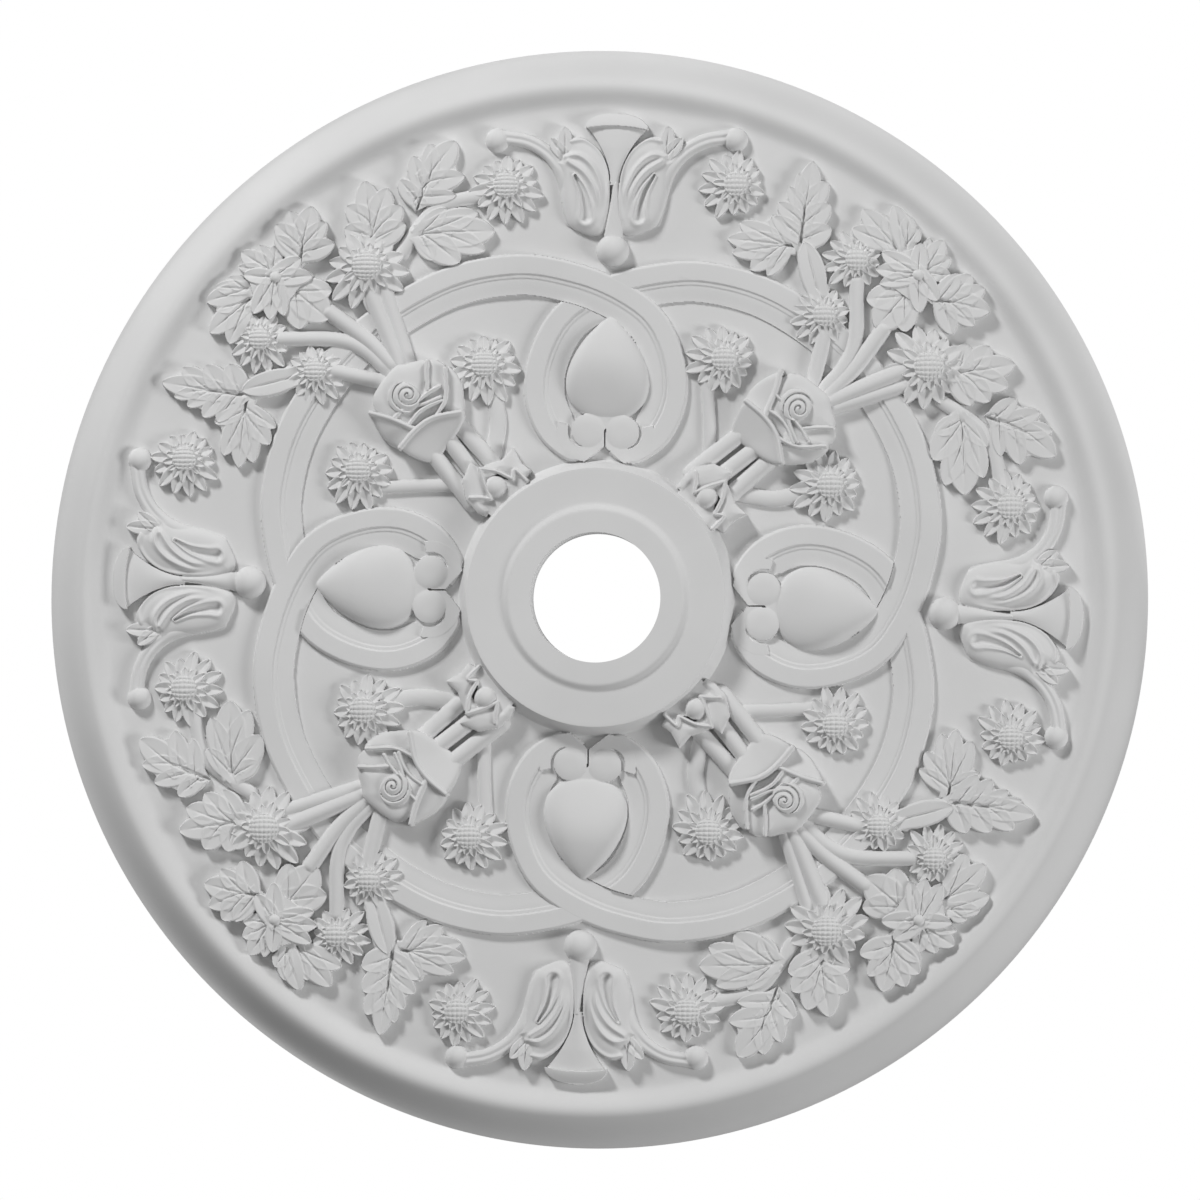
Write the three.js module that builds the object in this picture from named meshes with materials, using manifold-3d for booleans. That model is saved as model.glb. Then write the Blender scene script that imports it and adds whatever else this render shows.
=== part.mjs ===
// A ceiling rose: one round casting with a hole through its middle for the lamp lead.
// It is drawn face up (x right, y up the face, z out of it, millimetres) and turned face down at the end.
import * as THREE from "three";
import { mergeVertices } from "three/addons/utils/BufferGeometryUtils.js";
import Module from "manifold-3d";

const wasm = await Module();
wasm.setup();

// Turned body.
const OUTER_RADIUS = 457;
const HOLE_RADIUS = 54;
const EDGE = 4; // upright edge against the ceiling
const FIELD = 24; // plain field that carries the ornament
const FIELD_RADIUS = 384; // where the field starts to dip to the groove
const RIM_INNER = 405.7; // groove where the rim starts
const RIM_GROOVE = 22.8;
const RIM_CREST_RADIUS = 424.8;
const RIM_CREST = 30;
const RIM_STATIONS = [0.35, 0.7]; // points on the outer sweep, as shares of the way from edge to crest
const BODY_SIDES = 48;

// Stepped collar round the hole.
const COLLAR_TOP = 49;
const COLLAR_STEP = 45.5;
const COLLAR_FOOT = 115.5;
const COLLAR_SHELF = 107;
const COLLAR_STEP_FOOT = 78.5;
const COLLAR_STEP_EDGE = 72;
const COLLAR_LAP = 8; // the body ends this far inside the collar
const COLLAR_SIDES = 28;

// The ornament is one quarter, four times over; its axes lean a little from the square.
const REPEATS = 4;
const LEAN = THREE.MathUtils.degToRad(2.5);

// Strap: outer edge from the loop foot (u across the motif axis, v out along it) to the ring.
const STRAP_LOOP = [
  [9, 116], [30, 113.5], [54, 132], [67.5, 165], [64.5, 202], [47, 238], [17, 261], [-26, 277],
];
const STRAP_RING = [[16, 294], [29, 303], [45, 306]]; // degrees from the motif axis, radius
const STRAP_WIDTH = 34;
const STRAP_TAIL = 20; // width where it winds into the scroll
const STRAP_TAPER = 0.09; // share of the course over which it narrows to the tail
const STRAP_HEIGHT = 5;
const STRAP_OVER = 0.335; // share of the course where it runs over the next strap
const STRAP_UNDER = 1 - STRAP_OVER;
const STRAP_CROSSING = 0.055; // half length of a crossing, as a share of the course
const STRAP_LIFT = 1.4; // over the crossing
const STRAP_DIP = 2.2; // under the crossing
const STRAP_FLAT = [0.13, 0.5]; // where the flat starts and ends, as shares of the width

// Egg boss inside each loop, with a scroll either side of its foot.
const EGG_TIP = 234.5;
const EGG_FOOT = 148;
const EGG_HALF_WIDTH = 34.7;
const EGG_HEIGHT = 19;
const EGG_TIP_POWER = 0.85; // how fast it widens from the tip
const EGG_FOOT_POWER = 0.45; // and from the foot
const EGG_WIDEST = EGG_TIP_POWER / (EGG_TIP_POWER + EGG_FOOT_POWER);
const EGG_STEPS = 5;
const EGG_LEVELS = [0.6, 0.95];
const SCROLL_U = 14.3;
const SCROLL_V = 138.5;
const SCROLL_RADIUS = 14;
const SCROLL_HEIGHT = 7;
const SCROLL_SIDES = 8;

// Palmette outside each loop crossing: two lobes, a bell between them, leaflets, tendrils and balls.
const LOBE = [[4, 301], [30, 304], [42, 326], [46, 354], [40, 380], [28, 382.5], [13, 371.5], [5, 350]];
const LOBE_HEIGHT = 11;
const LOBE_TOP = 0.65; // size of its top, as a share of its foot
const BELL_MOUTH = 392.5;
const BELL_CROWN = 403;
const BELL_WAIST = 345;
const BELL_FOOT = 301;
const BELL_HALF_WIDTH = 25;
const BELL_WAIST_HALF = 4;
const BELL_FOOT_HALF = 9;
const BELL_HEIGHT = 8.5;
const BELL_TOP = 0.85;
const LEAFLET = { base: [42, 367], tip: [44, 392], half: 6, height: 8 };
const TENDRIL = [[40.5, 345], [61, 373], [95, 383.5]];
const TENDRIL_HALF_WIDTH = 6;
const TENDRIL_HEIGHT = 7;
const TENDRIL_BALL = [99, 381];
const TENDRIL_BALL_RADIUS = 10;
const MAIN_BALL = [0.8, 289];
const MAIN_BALL_RADIUS = 13.5;
const PALMETTE_SKEW = 0.042; // keeps its two sides level with the square though its axis leans
const BALL_SIDES = 7;
const BALL_RINGS = 4;

// Sunflowers of one quarter: centre, radius, height.
const SUNFLOWERS = [
  [-75, 343, 28.5, 12],
  [-191, 276, 33.5, 18],
  [-280, 216, 25, 13],
  [-234, 189, 25, 13],
  [-343, 116, 27, 12],
  [-93, 194, 29, 13],
  [-198, 106, 28, 13],
];
const PETALS = 7;
const PETAL_NOTCH = 0.72; // radius between petals, as a share of the tip radius
const SEED_DISC = 0.38;

// Leaves of one quarter: base, tip, half width, height.
const LEAVES = [
  [[-149, 315], [-118, 381], 22, 7],
  [[-151, 304], [-84, 307], 19, 7],
  [[-146, 299], [-113, 281], 10, 6],
  [[-184, 270], [-186, 348], 24, 9],
  [[-246, 272], [-231, 328], 25, 9],
  [[-262, 264], [-291, 296], 20, 9],
  [[-274, 262], [-325, 246], 14, 8],
  [[-280, 252], [-320, 216], 15, 7],
  [[-262, 266], [-220, 223], 17, 10],
  [[-287, 169], [-363, 179], 24, 7],
  [[-290, 170], [-296, 113], 24, 7],
];
const LEAF_STEPS = 4; // points along one side of a leaf
const SMALL_LEAF_STEPS = 3;
const SMALL_LEAF = 16; // half width under which a leaf is small
const LEAF_NOTCH = 0.86; // width between teeth, as a share of the width at a tooth
const LEAF_BELLY = 0.75; // under 1 puts the widest place nearer the base
const RIDGE_PARTS = 4; // the ridge has a point at each of these parts of the leaf's length but its ends

// Stems of one quarter: course, half width, height.
const STEMS = [
  [[[-90, 336], [-129, 327], [-148, 308], [-162, 287]], 6, 6],
  [[[-262, 216], [-216, 215], [-192, 206], [-172, 188]], 6.5, 9],
  [[[-222, 238], [-190, 214], [-168, 192]], 7, 10.5],
  [[[-191, 262], [-163, 194]], 7.5, 11],
  [[[-176, 258], [-157, 196]], 6.5, 9],
  [[[-222, 190], [-178, 180]], 6.5, 9],
  [[[-256, 190], [-270, 175], [-292, 167]], 4, 6],
  [[[-140, 125], [-104, 79]], 7.2, 10.5],
  [[[-124, 133], [-98, 99]], 7.2, 10.5],
  [[[-114, 143], [-86, 112]], 7.2, 9.5],
  [[[-88, 176], [-82, 148], [-86, 120]], 7, 5],
  [[[-178, 92], [-145, 93.6], [-118, 93.6]], 5.5, 5],
];

// Rose of one quarter, from its far petal to its cup: outline and height of each petal.
const ROSE_PETALS = [
  [[[-125, 191.5], [-113, 180.5], [-110, 165.5], [-112, 153.5], [-129, 152.5]], 11],
  [[[-140, 196.5], [-125, 191.5], [-124, 166.5], [-130, 155.5], [-144, 163.5]], 14],
  [[
    [-184.5, 169.5], [-183.5, 156.5], [-151.5, 140.5], [-129, 156.5], [-140, 196.5], [-157, 194.5],
    [-168.5, 190.5],
  ], 17],
  [[[-187, 153.5], [-177, 132.5], [-162.5, 124.5], [-151.5, 139.5], [-170, 148.5]], 16],
  [[
    [-162.5, 124.5], [-137.5, 112.5], [-122.5, 127.5], [-111, 145.5], [-112, 154.5], [-134.5, 149.5],
    [-149.5, 139.5],
  ], 18],
];
const PETAL_TOP = 0.88; // size of a petal's top, as a share of its foot
const ROSE_HEART = [-156, 168.5];
const ROSE_HEART_RADIUS = 11;
const ROSE_HEART_HEIGHT = 21.5;
const ROSE_HEART_SIDES = 6;

// Bud beside the collar: a jagged cup and a ball in it.
const BUD_CUP = [
  [-104, 113], [-97, 108], [-78, 115], [-69, 125], [-54, 106], [-59, 97], [-80, 103], [-82, 94],
  [-91, 84], [-87, 72], [-91, 67], [-99, 71], [-108, 81], [-111, 98],
];
const BUD_HEIGHT = 16;
const BUD_TOP = 0.85;
const BUD_BALL = [-83, 92];
const BUD_BALL_RADIUS = 9.5;
const BUD_BALL_LIFT = 11;

const WELD = 1e-4; // points nearer than this are one point
const PRIMER_COLOUR = 0xe4e4e2;
const PRIMER_ROUGHNESS = 0.85;

// A closed skin over rings of equal length, its ends filled by fans; faces are turned to look outwards.
// The last ring needs no fan where its points pair up along a ridge.
function skin(rings, ridged = false) {
  const count = rings[0].length;
  const points = rings.flat();
  const faces = [];
  for (let level = 0; level + 1 < rings.length; level++) {
    for (let i = 0; i < count; i++) {
      const a = level * count + i;
      const b = level * count + ((i + 1) % count);
      faces.push([a, b, b + count], [a, b + count, a + count]);
    }
  }
  for (const level of ridged ? [0] : [0, rings.length - 1]) {
    const middle = new THREE.Vector3();
    rings[level].forEach((p) => middle.addScaledVector(p, 1 / count));
    const hub = points.push(middle) - 1;
    for (let i = 0; i < count; i++) {
      const a = level * count + i;
      const b = level * count + ((i + 1) % count);
      faces.push(level === 0 ? [hub, b, a] : [hub, a, b]);
    }
  }
  const volume = faces.reduce((sum, [a, b, c]) => sum + points[a].dot(points[b].clone().cross(points[c])), 0);
  if (volume < 0) faces.forEach((f) => f.reverse());
  return new THREE.BufferGeometry().setFromPoints(points).setIndex(faces.flat());
}

// A geometry as a solid that can be joined.
function solid(geometry) {
  const bare = geometry.clone();
  bare.deleteAttribute("normal");
  bare.deleteAttribute("uv");
  const merged = mergeVertices(bare, WELD);
  const vertProperties = merged.attributes.position.array;
  const faces = [];
  for (let i = 0; i < merged.index.count; i += 3) {
    const [a, b, c] = merged.index.array.slice(i, i + 3);
    if (a !== b && b !== c && c !== a) faces.push(a, b, c); // faces drawn to a line or a point are left out
  }
  const triVerts = new Uint32Array(faces);
  return new wasm.Manifold(new wasm.Mesh({ numProp: 3, vertProperties, triVerts }));
}

// A turned solid: radius and height pairs of its half section, in order up the outside and down the inside.
function turned(section, sides) {
  const profile = [...section, section[0]].map(([r, h]) => new THREE.Vector2(r, h));
  return new THREE.LatheGeometry(profile, sides).rotateX(Math.PI / 2);
}

// Height on a smooth S curve from one level to another.
function swell(from, to, share) {
  return from + (to - from) * (0.5 - 0.5 * Math.cos(Math.PI * share));
}

// A point of the motif frame (u across its axis, v along it) on the face.
function onMotif([u, v], height = 0) {
  const x = u * Math.cos(LEAN) + v * Math.sin(LEAN);
  const y = v * Math.cos(LEAN) - u * Math.sin(LEAN);
  return new THREE.Vector3(x, y, height);
}

function flat([x, y], height = 0) {
  return new THREE.Vector3(x, y, height);
}

function atHeight(outline, height) {
  return outline.map((p) => new THREE.Vector3(p.x, p.y, height));
}

// The outline drawn in towards its own middle.
function shrunk(outline, share) {
  const middle = new THREE.Vector3();
  outline.forEach((p) => middle.addScaledVector(p, 1 / outline.length));
  return outline.map((p) => p.clone().lerp(middle, 1 - share));
}

function body() {
  const section = [[OUTER_RADIUS, 0], [OUTER_RADIUS, EDGE]];
  for (const share of RIM_STATIONS) {
    const r = THREE.MathUtils.lerp(OUTER_RADIUS, RIM_CREST_RADIUS, share);
    section.push([r, swell(EDGE, RIM_CREST, share)]);
  }
  section.push([RIM_CREST_RADIUS, RIM_CREST]);
  section.push([(RIM_CREST_RADIUS + RIM_INNER) / 2, (RIM_CREST + RIM_GROOVE) / 2]);
  section.push([RIM_INNER, RIM_GROOVE], [FIELD_RADIUS, FIELD]);
  section.push([HOLE_RADIUS + COLLAR_LAP, FIELD], [HOLE_RADIUS + COLLAR_LAP, 0]);
  return solid(turned(section, BODY_SIDES));
}

function collar() {
  return solid(turned([
    [HOLE_RADIUS, 0],
    [COLLAR_FOOT, 0],
    [COLLAR_FOOT, FIELD],
    [COLLAR_SHELF, COLLAR_STEP],
    [COLLAR_STEP_FOOT, COLLAR_STEP],
    [COLLAR_STEP_EDGE, COLLAR_TOP],
    [HOLE_RADIUS, COLLAR_TOP],
  ], COLLAR_SIDES));
}

// Outer edge of one strap: up one side of a loop, along the ring, and into the next loop a quarter turn on.
function strapCourse() {
  const half = STRAP_LOOP.map((p) => onMotif(p));
  for (const [degrees, radius] of STRAP_RING) {
    const angle = THREE.MathUtils.degToRad(degrees);
    half.push(onMotif([-radius * Math.sin(angle), radius * Math.cos(angle)]));
  }
  // The second half is the first one mirrored over the diagonal of the quarter.
  const rest = half.slice(0, -1).reverse().map((p) => p.clone().applyMatrix4(mirrorOverDiagonal()));
  return [...half, ...rest];
}

function mirrorOverDiagonal() {
  const angle = THREE.MathUtils.degToRad(135) - LEAN;
  const c = Math.cos(2 * angle);
  const s = Math.sin(2 * angle);
  return new THREE.Matrix4().set(c, s, 0, 0, s, -c, 0, 0, 0, 0, 1, 0, 0, 0, 0, 1);
}

function strap() {
  const course = strapCourse();
  const last = course.length - 1;
  const rings = course.map((edge, i) => {
    const t = i / last;
    const along = course[Math.min(i + 1, last)].clone().sub(course[Math.max(i - 1, 0)]).normalize();
    const inward = new THREE.Vector3(-along.y, along.x, 0);
    const tail = Math.min(1, Math.min(t, 1 - t) / STRAP_TAPER);
    const width = THREE.MathUtils.lerp(STRAP_TAIL, STRAP_WIDTH, tail);
    const lift = STRAP_LIFT * crossing(t, STRAP_OVER) - STRAP_DIP * crossing(t, STRAP_UNDER);
    const across = (share, height) => edge.clone().addScaledVector(inward, share * width).setZ(height);
    const top = FIELD + STRAP_HEIGHT + lift;
    return [across(0, FIELD), ...STRAP_FLAT.map((share) => across(share, top)), across(1, FIELD)];
  });
  return solid(skin(rings));
}

// 1 at the middle of a crossing of the straps, falling to 0 away from it.
function crossing(t, middle) {
  return Math.exp(-(((t - middle) / STRAP_CROSSING) ** 2));
}

// Half width of the egg, as a share of its greatest, from its tip (0) to its foot (1).
function eggShape(t) {
  return t ** EGG_TIP_POWER * (1 - t) ** EGG_FOOT_POWER;
}

function egg() {
  const sides = [];
  for (const side of [1, -1]) {
    for (let i = 0; i < EGG_STEPS; i++) {
      const t = side > 0 ? 1 - i / EGG_STEPS : i / EGG_STEPS;
      const width = (EGG_HALF_WIDTH * eggShape(t)) / eggShape(EGG_WIDEST);
      sides.push(onMotif([side * width, THREE.MathUtils.lerp(EGG_TIP, EGG_FOOT, t)]));
    }
  }
  const rings = [atHeight(sides, FIELD)];
  for (const lift of EGG_LEVELS) {
    rings.push(atHeight(shrunk(sides, Math.sqrt(1 - lift ** 2)), FIELD + lift * EGG_HEIGHT));
  }
  return solid(skin(rings));
}

function circle([x, y], radius, sides) {
  const ring = [];
  for (let i = 0; i < sides; i++) {
    const angle = (2 * Math.PI * i) / sides;
    ring.push(flat([x + radius * Math.cos(angle), y + radius * Math.sin(angle)]));
  }
  return ring;
}

function ball(centre, radius, lift = 0) {
  const shape = new THREE.SphereGeometry(radius, BALL_SIDES, BALL_RINGS).rotateX(Math.PI / 2);
  return solid(shape.translate(centre.x, centre.y, FIELD + lift));
}

// A raised pad over an outline: sides that slope in to a flat top, which is a share of its foot in size.
function pad(outline, height, share) {
  return solid(skin([atHeight(outline, FIELD), atHeight(shrunk(outline, share), FIELD + height)]));
}

function scroll(side) {
  const middle = onMotif([side * SCROLL_U, SCROLL_V]);
  return pad(circle([middle.x, middle.y], SCROLL_RADIUS, SCROLL_SIDES), SCROLL_HEIGHT, 1);
}

function palmette() {
  const pieces = [];
  for (const side of [1, -1]) {
    const mirrored = ([u, v]) => onMotif([side * u, v + PALMETTE_SKEW * side * u]);
    pieces.push(pad(LOBE.map(mirrored), LOBE_HEIGHT, LOBE_TOP));
    pieces.push(leaf(mirrored(LEAFLET.base), mirrored(LEAFLET.tip), LEAFLET.half, LEAFLET.height));
    pieces.push(stem(TENDRIL.map(mirrored), TENDRIL_HALF_WIDTH, TENDRIL_HEIGHT));
    pieces.push(ball(mirrored(TENDRIL_BALL), TENDRIL_BALL_RADIUS));
  }
  const bell = [
    [-BELL_FOOT_HALF, BELL_FOOT],
    [BELL_FOOT_HALF, BELL_FOOT],
    [BELL_WAIST_HALF, BELL_WAIST],
    [BELL_HALF_WIDTH, BELL_MOUTH],
    [0, BELL_CROWN],
    [-BELL_HALF_WIDTH, BELL_MOUTH],
    [-BELL_WAIST_HALF, BELL_WAIST],
  ];
  pieces.push(pad(bell.map((p) => onMotif(p)), BELL_HEIGHT, BELL_TOP));
  pieces.push(ball(onMotif(MAIN_BALL), MAIN_BALL_RADIUS));
  return pieces;
}

function sunflower([x, y, radius, height]) {
  const rim = [];
  const disc = [];
  for (let i = 0; i < 2 * PETALS; i++) {
    const angle = (Math.PI * i) / PETALS;
    const reach = i % 2 ? PETAL_NOTCH * radius : radius;
    rim.push(flat([x + reach * Math.cos(angle), y + reach * Math.sin(angle)]));
    const inner = SEED_DISC * radius;
    const petal = (Math.PI * (i - (i % 2))) / PETALS;
    disc.push(flat([x + inner * Math.cos(petal), y + inner * Math.sin(petal)]));
  }
  return solid(skin([atHeight(rim, FIELD), atHeight(disc, FIELD + height)]));
}

function leaf(base, tip, half, height) {
  const steps = half < SMALL_LEAF ? SMALL_LEAF_STEPS : LEAF_STEPS;
  const along = tip.clone().sub(base);
  const across = new THREE.Vector3(-along.y, along.x, 0).normalize();
  const outline = [];
  for (const side of [1, -1]) {
    for (let i = 0; i < steps; i++) {
      const t = side > 0 ? i / steps : 1 - i / steps;
      const tooth = i % 2 ? 1 : LEAF_NOTCH;
      const width = side * tooth * half * Math.sin(Math.PI * t ** LEAF_BELLY);
      outline.push(base.clone().addScaledVector(along, t).addScaledVector(across, width));
    }
  }
  const ridge = outline.map((p) => {
    const t = p.clone().sub(base).dot(along) / along.lengthSq();
    const station = 1 + Math.round((RIDGE_PARTS - 2) * t);
    return base.clone().addScaledVector(along, station / RIDGE_PARTS);
  });
  return solid(skin([atHeight(outline, FIELD), atHeight(ridge, FIELD + height)], true));
}

function stem(course, half, height) {
  const curve = new THREE.CatmullRomCurve3(course);
  const stations = course.length - 1;
  const rings = [];
  for (let i = 0; i <= stations; i++) {
    const at = curve.getPointAt(i / stations);
    const along = curve.getTangentAt(i / stations);
    const across = new THREE.Vector3(-along.y, along.x, 0);
    const section = [[-1, FIELD], [0, FIELD + height], [1, FIELD]];
    rings.push(section.map(([side, z]) => at.clone().addScaledVector(across, side * half).setZ(z)));
  }
  return solid(skin(rings));
}

function rose() {
  const petals = ROSE_PETALS.map(([outline, height]) => pad(outline.map((p) => flat(p)), height, PETAL_TOP));
  const heart = circle(ROSE_HEART, ROSE_HEART_RADIUS, ROSE_HEART_SIDES);
  return [...petals, pad(heart, ROSE_HEART_HEIGHT, PETAL_TOP)];
}

function bud() {
  const cup = pad(BUD_CUP.map((p) => flat(p)), BUD_HEIGHT, BUD_TOP);
  return [cup, ball(flat(BUD_BALL), BUD_BALL_RADIUS, BUD_BALL_LIFT)];
}

function quarter() {
  return wasm.Manifold.union([
    strap(),
    egg(),
    scroll(1),
    scroll(-1),
    ...palmette(),
    ...SUNFLOWERS.map(sunflower),
    ...LEAVES.map(([base, tip, half, height]) => leaf(flat(base), flat(tip), half, height)),
    ...STEMS.map(([course, half, height]) => stem(course.map((p) => flat(p)), half, height)),
    ...rose(),
    ...bud(),
  ]);
}

function ceilingRose() {
  const one = quarter();
  const quarters = [];
  for (let i = 0; i < REPEATS; i++) quarters.push(one.rotate([0, 0, (360 * i) / REPEATS]));
  return wasm.Manifold.union([body(), collar(), ...quarters]);
}

function meshOf(joined, name) {
  const { vertProperties, triVerts } = joined.getMesh();
  const geometry = new THREE.BufferGeometry();
  geometry.setAttribute("position", new THREE.BufferAttribute(vertProperties, 3));
  geometry.setIndex(new THREE.BufferAttribute(triVerts, 1));
  const primer = new THREE.MeshStandardMaterial({ color: PRIMER_COLOUR, roughness: PRIMER_ROUGHNESS });
  const mesh = new THREE.Mesh(geometry, primer);
  mesh.name = name;
  return mesh;
}

const part = new THREE.Group();
part.add(meshOf(ceilingRose(), "ceiling_rose"));
part.rotation.x = Math.PI; // face down, its back against the ceiling

export default part;
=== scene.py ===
import math

import bmesh
import bpy
import numpy as np
from mathutils import Matrix, Vector


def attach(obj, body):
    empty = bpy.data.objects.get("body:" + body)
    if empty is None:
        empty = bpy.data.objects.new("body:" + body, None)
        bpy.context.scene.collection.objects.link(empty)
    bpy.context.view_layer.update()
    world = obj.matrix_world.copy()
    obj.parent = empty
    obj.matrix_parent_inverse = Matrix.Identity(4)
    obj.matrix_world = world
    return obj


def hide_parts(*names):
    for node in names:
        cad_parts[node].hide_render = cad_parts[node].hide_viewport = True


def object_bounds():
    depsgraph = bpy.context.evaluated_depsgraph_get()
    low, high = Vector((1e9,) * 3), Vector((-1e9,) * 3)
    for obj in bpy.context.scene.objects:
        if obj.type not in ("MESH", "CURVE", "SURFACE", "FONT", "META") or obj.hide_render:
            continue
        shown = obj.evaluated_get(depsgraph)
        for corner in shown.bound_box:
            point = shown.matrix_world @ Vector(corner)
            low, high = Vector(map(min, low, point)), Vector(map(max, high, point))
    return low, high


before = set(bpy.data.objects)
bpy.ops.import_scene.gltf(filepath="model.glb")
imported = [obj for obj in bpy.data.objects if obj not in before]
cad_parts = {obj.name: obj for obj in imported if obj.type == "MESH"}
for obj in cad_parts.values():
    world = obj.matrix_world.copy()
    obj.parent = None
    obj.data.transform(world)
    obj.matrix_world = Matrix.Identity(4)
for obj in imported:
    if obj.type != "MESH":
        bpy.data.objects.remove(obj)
cad_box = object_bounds()

# The rose is drawn face up in millimetres: x right and y up the photograph, heights from the flat back.
# The meshes turn it face down and put it in metres.
MILLIMETRE = 0.001
REPEATS = 4  # the ornament is one quarter, four times over
NONE = -1.0  # height where there is no ornament
TINY = 1e-6  # keeps shares off 0 and 1

# Turned body.
OUTER_RADIUS = round(cad_box[1][0] / MILLIMETRE, 3)
HOLE_RADIUS = 54.0
EDGE = 4.0  # upright edge against the ceiling
FIELD = 24.0  # plain field that carries the ornament
FIELD_FALL = 22.0  # width over which the field dips to the groove
RIM_INNER = 405.7
RIM_GROOVE = 22.8
RIM_CREST_RADIUS = 424.8
RIM_CREST = 30.0
RIM_OVERRUN = 1.5  # the rim's sweep would end this far past the edge
COLLAR_TOP = round(-cad_box[0][2] / MILLIMETRE, 3)
COLLAR_STEP = 45.5
COLLAR_FOOT = 115.5
COLLAR_SHELF = 107.0
COLLAR_STEP_FOOT = 78.5
COLLAR_STEP_EDGE = 72.0
COLLAR_SKIRT = 0.8  # under 1 makes the skirt fall sooner

# Rings and columns of the body's mesh.
BODY_COLUMNS = 256
COLLAR_RINGS = 48
FIELD_RINGS = 10
RIM_RINGS = 36
BACK_RINGS = 8
COLLAR_END = COLLAR_FOOT + 1
FIELD_START = COLLAR_FOOT + 4
RIM_START = RIM_INNER - FIELD_FALL
FIELD_END = RIM_START - 2

# Carved meshes of one quarter: low and high corner of the plan, grid step, and triangles kept.
STRAPWORK_GRID = ((-320.0, -110.0), (110.0, 320.0), 0.7, 40000)
PALMETTE_GRID = ((-110.0, 265.0), (135.0, 410.0), 0.5, 40000)
SPRAY_GRID = ((-385.0, 40.0), (-35.0, 390.0), 0.55, 140000)
SINK = 1.5  # the edge of the ornament lies this far under the field, its foot twice as far
COLLAR_BITE = 8.0  # the ornament ends this far inside the collar's foot
# Corners of the two halves of a square cell, cut along its first diagonal or along the other.
CELL_HALVES = (((0, 1, 2), (0, 1, 3)), ((0, 2, 3), (1, 2, 3)))
HEIGHT_WEIGHT = 2.0  # how much more a height counts than a length when a mesh is thinned
SHARP_ANGLE = math.radians(40)

# Motif frame: u across the axis and v out along it. The axes lean a little from the square.
LEAN = math.radians(2.5)
DIAGONAL = math.radians(135)  # of the quarter between two axes
CURVE_STEPS = 12
OUTLINE_STEPS = 8

# Strap: outer edge from the scroll round the loop (u, v), then on the ring (degrees from the axis, radius).
STRAP_LOOP = (
    (4, 121), (14, 115), (30, 113.5), (54, 132), (67.5, 165), (64.5, 202), (47, 238), (17, 261), (-26, 277),
)
STRAP_RING = ((16, 294), (29, 303), (45, 306))
STRAP_CURVE_STEPS = 10
STRAP_WIDTH = 34.0
STRAP_TAIL = 22.0  # width where it winds into the scroll
STRAP_TAPER = 0.07  # share of the course over which it narrows to the tail
STRAP_END = 0.001  # share of the course left off at either end
STRAP_HEIGHT = 5.2
# Section of the strap from its flat to its inner edge: where each fall starts and ends, as shares of the
# width, and how far it falls, as a share of the height.
STRAP_STEPS = ((0.47, 0.51, 0.26), (0.58, 0.61, 0.16), (0.61, 1.0, 0.22))
STRAP_EDGE = 0.35  # fall to the outer edge, as a share of the height
STRAP_EDGE_WIDTH = 0.07
STRAP_OVER = 0.335  # share of the course where it runs over the next strap
STRAP_LIFT = 1.6  # over that crossing
STRAP_LIFT_LENGTH = 0.05
STRAP_CROSSING = 0.12  # half length over which it hides the strap under it, as a share of the course
STRAP_COVER = 0.15  # share of its width, from the outer edge, that doesn't hide that strap

# Egg boss inside each loop. Its axis and that of the scrolls lie beside the motif's.
AXIS_SHIFT = -1.2
EGG_TIP = 234.5
EGG_FOOT = 148.0
EGG_HALF_WIDTH = 34.7
EGG_HEIGHT = 19.0
EGG_TIP_POWER = 0.85  # how it widens from the tip
EGG_FOOT_POWER = 0.45  # and from the foot
EGG_WIDEST = 0.432  # what these powers come to at the widest place
EGG_SECTION = 2.2  # power of the section across it
EGG_FULLNESS = 0.9  # under 1 makes it fuller
EGG_CROWN = 0.75  # how much its height follows its width
EGG_FOOT_FALL = 0.5  # share of the height lost at the foot
EGG_FALL_ALONG = (0.35, 1.05)  # over these shares of the way from tip to foot
EGG_WINDOW = 60.0

# Scroll at each end of the strap: a low button with the strap wound round it.
SCROLL_U = 14.3
SCROLL_V = 138.5
SCROLL_RADIUS = 14.0
SCROLL_RISE = 1.9  # of the button's middle over its edge
SCROLL_ROUND = 3
SCROLL_PROUD = 0.15  # of the wound flat over the strap
SCROLL_WINDING = 26.0  # radius of the wound flat
SCROLL_WINDING_END = 15.0  # bearing in degrees from straight outwards
SCROLL_SLIT = 0.4  # half width of the slit between the two scrolls
SCROLL_SLIT_TOP = 2.0  # over the button's middle
SCROLL_NECK = 2.0  # how far past the button's middle the flat between the buttons goes
SCROLL_FOOT_DEPTH = 12.5  # of the slanted foot at the axis, under the button's middle
SCROLL_FOOT_SLOPE = 0.85
CRESCENT_WIDTH = 2.6  # hollow between the button and the flat wound round it
CRESCENT_START = -95.0
CRESCENT_RUN = 70.0
SCROLL_WINDOW = 32.0

# Round stems of one quarter: course, half width, height.
STEMS = (
    (((-90, 336), (-129, 327), (-148, 308), (-162, 287)), 6, 6),
    (((-262, 216), (-216, 215), (-192, 206), (-172, 188)), 6.5, 9),
    (((-222, 238), (-190, 214), (-168, 192)), 7, 10.5),
    (((-191, 262), (-163, 194)), 7.5, 11),
    (((-176, 258), (-157, 196)), 6.5, 9),
    (((-222, 190), (-178, 180)), 6.5, 9),
    (((-256, 190), (-270, 175), (-292, 167)), 4, 6),
    (((-140, 125), (-104, 79)), 7.2, 10.5),
    (((-124, 133), (-98, 99)), 7.2, 10.5),
    (((-114, 143), (-86, 112)), 7.2, 9.5),
    (((-88, 176), (-82, 148), (-86, 120)), 7, 5),
    (((-178, 92), (-145, 93.6), (-118, 93.6)), 5.5, 5),
)
STEM_SIDE = 0.4  # height at its sides, as a share of its height
STEM_ROUND = 0.7
STEM_FADE = (0.55, 1.0)  # shares of the course over which a fading stem sinks
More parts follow.
